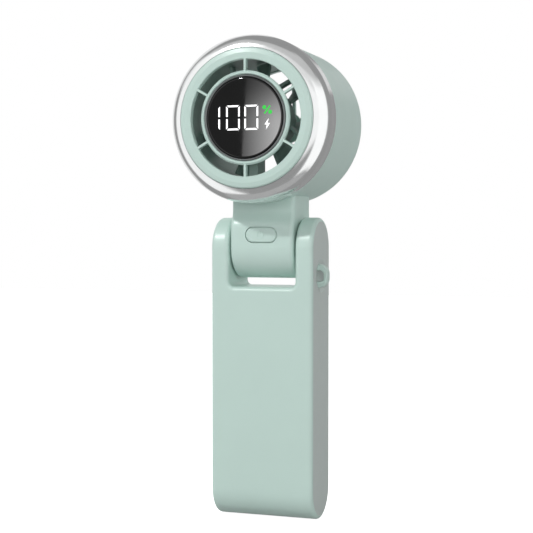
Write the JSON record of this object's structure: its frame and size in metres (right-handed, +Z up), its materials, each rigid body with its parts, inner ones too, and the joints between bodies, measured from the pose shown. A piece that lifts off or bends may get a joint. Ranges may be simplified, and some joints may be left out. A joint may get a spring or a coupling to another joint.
{
  "type": "folding handheld fan",
  "caption": "Pocket fan: a ducted round head with chrome front ring, grille and battery display folds on a forked flat handle.",
  "frame": {"origin": "mouth of the charging port at the middle of the handle's foot", "axes": "+Z up along the handle, -Y the way the display faces and the air leaves, +X to the right seen from the display side"},
  "size_m": [0.0612, 0.0515, 0.1803],
  "materials": {
    "mint_plastic": "fine satin moulding, pale mint",
    "side_grey": "satin moulding, pale grey",
    "mint_duct": "fine satin moulding, deep mint",
    "mint_button": "satin moulding, pale mint",
    "chrome": "bright chrome plating on a moulding",
    "bezel_metal": "thin satin ring",
    "lens": "gloss smoked window",
    "light_white": "lit white light guides",
    "light_green": "lit green light guides",
    "black_plastic": "matt black moulding",
    "board": "green lacquered circuit board",
    "steel": "ground steel",
    "electrical_steel": "stacked laminations",
    "copper": "enamelled copper wire",
    "magnet": "sintered magnet",
    "nickel": "nickel strip",
    "cell_wrap": "shrink-wrapped cell",
    "foam": "soft foam pad",
    "lead": "insulated lead",
    "bush_plastic": "natural acetal"
  },
  "bodies": {
    "handle": {"handle_body": "mint_plastic", "handle_back_cover": "mint_plastic", "side_trim_left": "side_grey", "side_trim_right": "side_grey", "lanyard_loop": "mint_plastic", "battery_cell_left": "cell_wrap", "battery_cell_right": "cell_wrap", "cell_strip_lower": "nickel", "cell_strip_upper": "nickel", "foam_pad": "foam", "charge_board": "board", "usb_c_shell": "steel", "usb_c_tongue": "black_plastic", "battery_loom": "lead", "hinge_axle_left": "steel", "axle_clip_left": "steel", "friction_washer_left": "steel", "hinge_axle_right": "steel", "axle_clip_right": "steel", "friction_washer_right": "steel"},
    "head": {"head_shell": "mint_plastic", "neck_back_cover": "mint_plastic", "neck_screws": "steel", "control_board": "board", "tact_switch": "black_plastic", "hinge_lead": "lead", "motor_lead": "lead", "display_lead": "lead", "chrome_ring": "chrome", "front_grille": "mint_plastic", "display_bezel": "bezel_metal", "display_lens": "lens", "display_digits": "light_white", "display_percent": "light_green", "display_bolt": "light_white", "display_reflector": "black_plastic", "display_board": "board", "air_duct": "mint_duct", "bearing_front": "steel", "bearing_rear": "steel", "stator_core": "electrical_steel", "windings": "copper", "motor_board": "board", "rear_grille": "mint_plastic", "rear_screws": "steel", "barrel_bush_left": "bush_plastic", "barrel_bush_right": "bush_plastic"},
    "rotor": {"impeller": "mint_duct", "motor_bell": "steel", "magnet_ring": "magnet", "motor_shaft": "steel", "shaft_clip": "steel"},
    "button": {"power_button": "mint_button"}
  },
  "joints": [
    {"name": "head_fold", "type": "hinge", "parent": "handle", "child": "head", "pos_m": [0, 0, 0.1026], "axis": [1, 0, 0], "range_deg": [-90, 90]},
    {"name": "fan_spin", "type": "hinge", "parent": "head", "child": "rotor", "pos_m": [0, 0, 0.14965], "axis": [0, 1, 0], "continuous": true},
    {"name": "button_press", "type": "slide", "parent": "head", "child": "button", "axis": [0, 1, 0], "range_m": [0, 0.0005], "stiffness_N_per_m": 2000, "springref_m": -0.0003}
  ]
}
